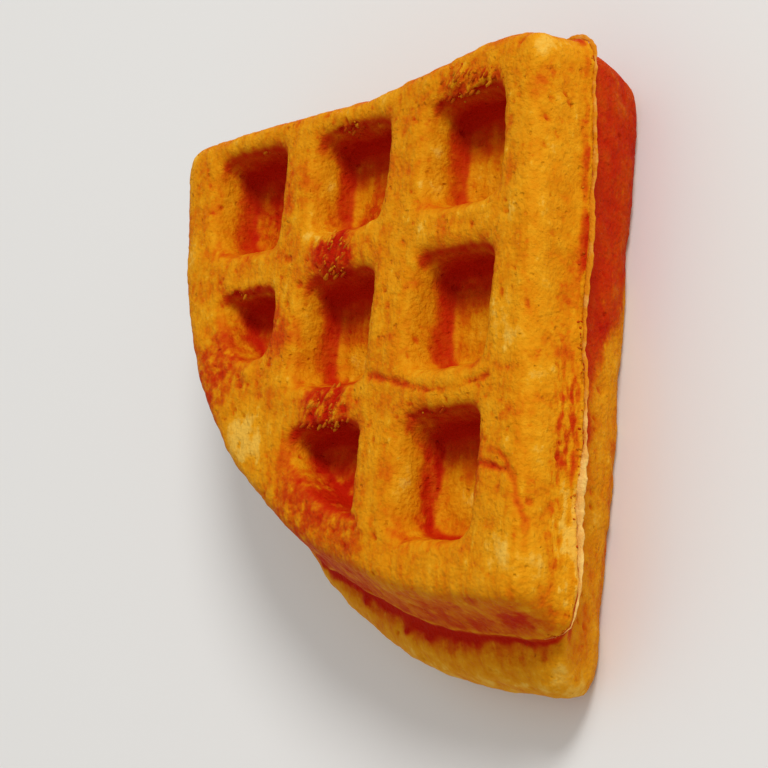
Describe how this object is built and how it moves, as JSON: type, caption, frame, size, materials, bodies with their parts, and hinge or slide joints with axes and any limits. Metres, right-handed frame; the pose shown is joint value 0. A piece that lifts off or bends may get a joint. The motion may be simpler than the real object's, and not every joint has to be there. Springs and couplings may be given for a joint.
{
  "type": "waffle quarter",
  "caption": "Quarter of a thick round waffle with deep square pockets on both faces, a rounded rim and a torn seam where the two halves of the iron met.",
  "frame": {"origin": "centre of the bounding box at the level of the back face, on which the quarter lies", "axes": "+Z out of the shown face, +X towards the tip along the side with three pockets nearest -Y, and +Y away from that side; the tip, once the middle of the round waffle, points to +X and -Y"},
  "size_m": [0.0978, 0.0932, 0.0253],
  "materials": {
    "golden_crust": "baked golden crust, dull with a slight sheen"
  },
  "bodies": {
    "root": {"waffle_quarter": "golden_crust"}
  },
  "joints": []
}
